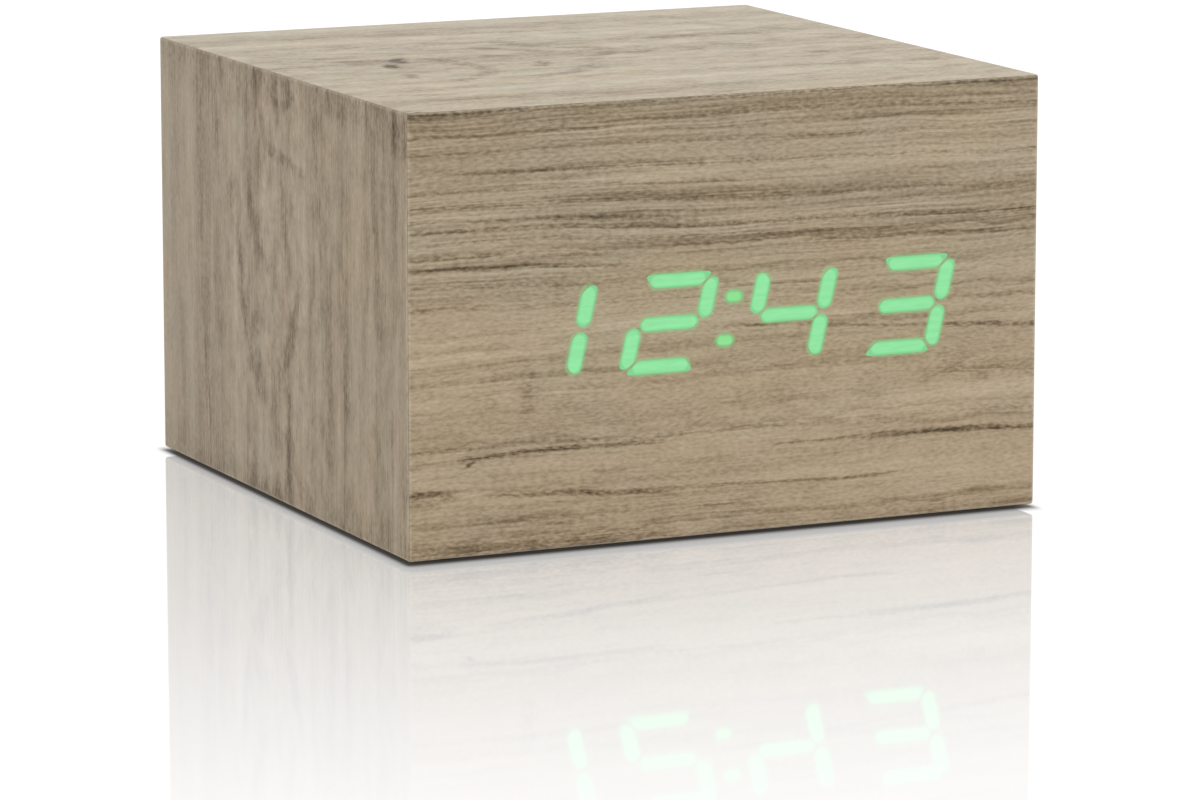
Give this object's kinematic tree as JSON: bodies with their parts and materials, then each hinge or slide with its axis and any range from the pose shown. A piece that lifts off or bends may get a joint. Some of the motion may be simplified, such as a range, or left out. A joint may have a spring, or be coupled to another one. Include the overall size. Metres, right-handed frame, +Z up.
{
  "type": "digital desk clock",
  "caption": "Low rectangular wood-veneered block clock with slanted seven-segment digits shining through its front, rear setting buttons and a battery door underneath.",
  "frame": {"origin": "middle of the footprint, at the underside of the feet", "axes": "+Z up, the display looks along -Y, +X to the right of a viewer who faces the display"},
  "size_m": [0.102, 0.098, 0.0658],
  "materials": {
    "oak_veneer": "matte greyish oak veneer, fine wavy grain",
    "foot_rubber": "matte",
    "light_film": "pale green light through film",
    "white_plastic": "satin",
    "circuit_board": "green solder mask",
    "black_epoxy": "moulded",
    "zinc_steel": "zinc plated",
    "nickel_plate": "nickel plated",
    "black_abs": "fine spark-eroded texture",
    "black_button": "satin",
    "cell_sleeve": "printed sleeve, no lettering",
    "ribbon_grey": "ribbed",
    "lead_red": "satin",
    "lead_black": "satin"
  },
  "bodies": {
    "clock_case": {"back_panel": "oak_veneer", "backup_cell": "zinc_steel", "backup_cell_clip": "nickel_plate", "backup_cell_holder": "black_button", "battery_box": "black_abs", "battery_cell_1": "cell_sleeve", "battery_cell_2": "cell_sleeve", "battery_cell_3": "cell_sleeve", "battery_cell_4": "cell_sleeve", "battery_contact_first_pair": "nickel_plate", "battery_contact_last_pair": "nickel_plate", "battery_contact_middle_pair": "nickel_plate", "battery_contact_negative": "nickel_plate", "battery_contact_positive": "nickel_plate", "battery_lead_negative": "lead_black", "battery_lead_positive": "lead_red", "board_screw_1": "zinc_steel", "board_screw_2": "zinc_steel", "bottom_panel": "oak_veneer", "buzzer": "black_button", "clock_chip": "black_epoxy", "diffuser_film": "light_film", "display_board": "circuit_board", "display_driver": "black_epoxy", "display_ribbon": "ribbon_grey", "display_screw_1": "zinc_steel", "display_screw_2": "zinc_steel", "foot_back_left": "foot_rubber", "foot_back_right": "foot_rubber", "foot_front_left": "foot_rubber", "foot_front_right": "foot_rubber", "front_panel": "oak_veneer", "left_panel": "oak_veneer", "main_board": "circuit_board", "microphone": "zinc_steel", "power_socket": "black_button", "power_socket_pin": "nickel_plate", "quartz_crystal": "nickel_plate", "rear_plate": "black_abs", "rear_plate_screw_1": "zinc_steel", "rear_plate_screw_2": "zinc_steel", "rear_plate_screw_3": "zinc_steel", "rear_plate_screw_4": "zinc_steel", "right_panel": "oak_veneer", "segment_reflector": "white_plastic", "slide_switch_shell": "zinc_steel", "tact_body_down": "zinc_steel", "tact_body_set": "zinc_steel", "tact_body_up": "zinc_steel", "temperature_sensor": "black_epoxy", "top_panel": "oak_veneer"},
    "set_button": {"button_set": "black_button"},
    "set_plunger": {"tact_plunger_set": "black_button"},
    "up_button": {"button_up": "black_button"},
    "up_plunger": {"tact_plunger_up": "black_button"},
    "down_button": {"button_down": "black_button"},
    "down_plunger": {"tact_plunger_down": "black_button"},
    "sound_switch": {"slide_switch_knob": "black_button"},
    "battery_lid": {"battery_door": "black_abs"}
  },
  "joints": [
    {"name": "set_press", "type": "slide", "parent": "clock_case", "child": "set_button", "axis": [0, -1, 0], "range_m": [0, 0.0003], "stiffness_N_per_m": 4000},
    {"name": "set_click", "type": "slide", "parent": "clock_case", "child": "set_plunger", "axis": [0, -1, 0], "range_m": [0, 0.0003]},
    {"name": "up_press", "type": "slide", "parent": "clock_case", "child": "up_button", "axis": [0, -1, 0], "range_m": [0, 0.0003], "stiffness_N_per_m": 4000},
    {"name": "up_click", "type": "slide", "parent": "clock_case", "child": "up_plunger", "axis": [0, -1, 0], "range_m": [0, 0.0003]},
    {"name": "down_press", "type": "slide", "parent": "clock_case", "child": "down_button", "axis": [0, -1, 0], "range_m": [0, 0.0003], "stiffness_N_per_m": 4000},
    {"name": "down_click", "type": "slide", "parent": "clock_case", "child": "down_plunger", "axis": [0, -1, 0], "range_m": [0, 0.0003]},
    {"name": "sound_switch_slide", "type": "slide", "parent": "clock_case", "child": "sound_switch", "axis": [1, 0, 0], "range_m": [0, 0.002]},
    {"name": "battery_door_hinge", "type": "hinge", "parent": "clock_case", "child": "battery_lid", "pos_m": [0, -0.0258, 0.001], "axis": [-1, 0, 0], "range_deg": [0, 100]}
  ],
  "couplings": [
    {"joint": "set_click", "follows": "set_press", "ratio": 1},
    {"joint": "up_click", "follows": "up_press", "ratio": 1},
    {"joint": "down_click", "follows": "down_press", "ratio": 1}
  ]
}
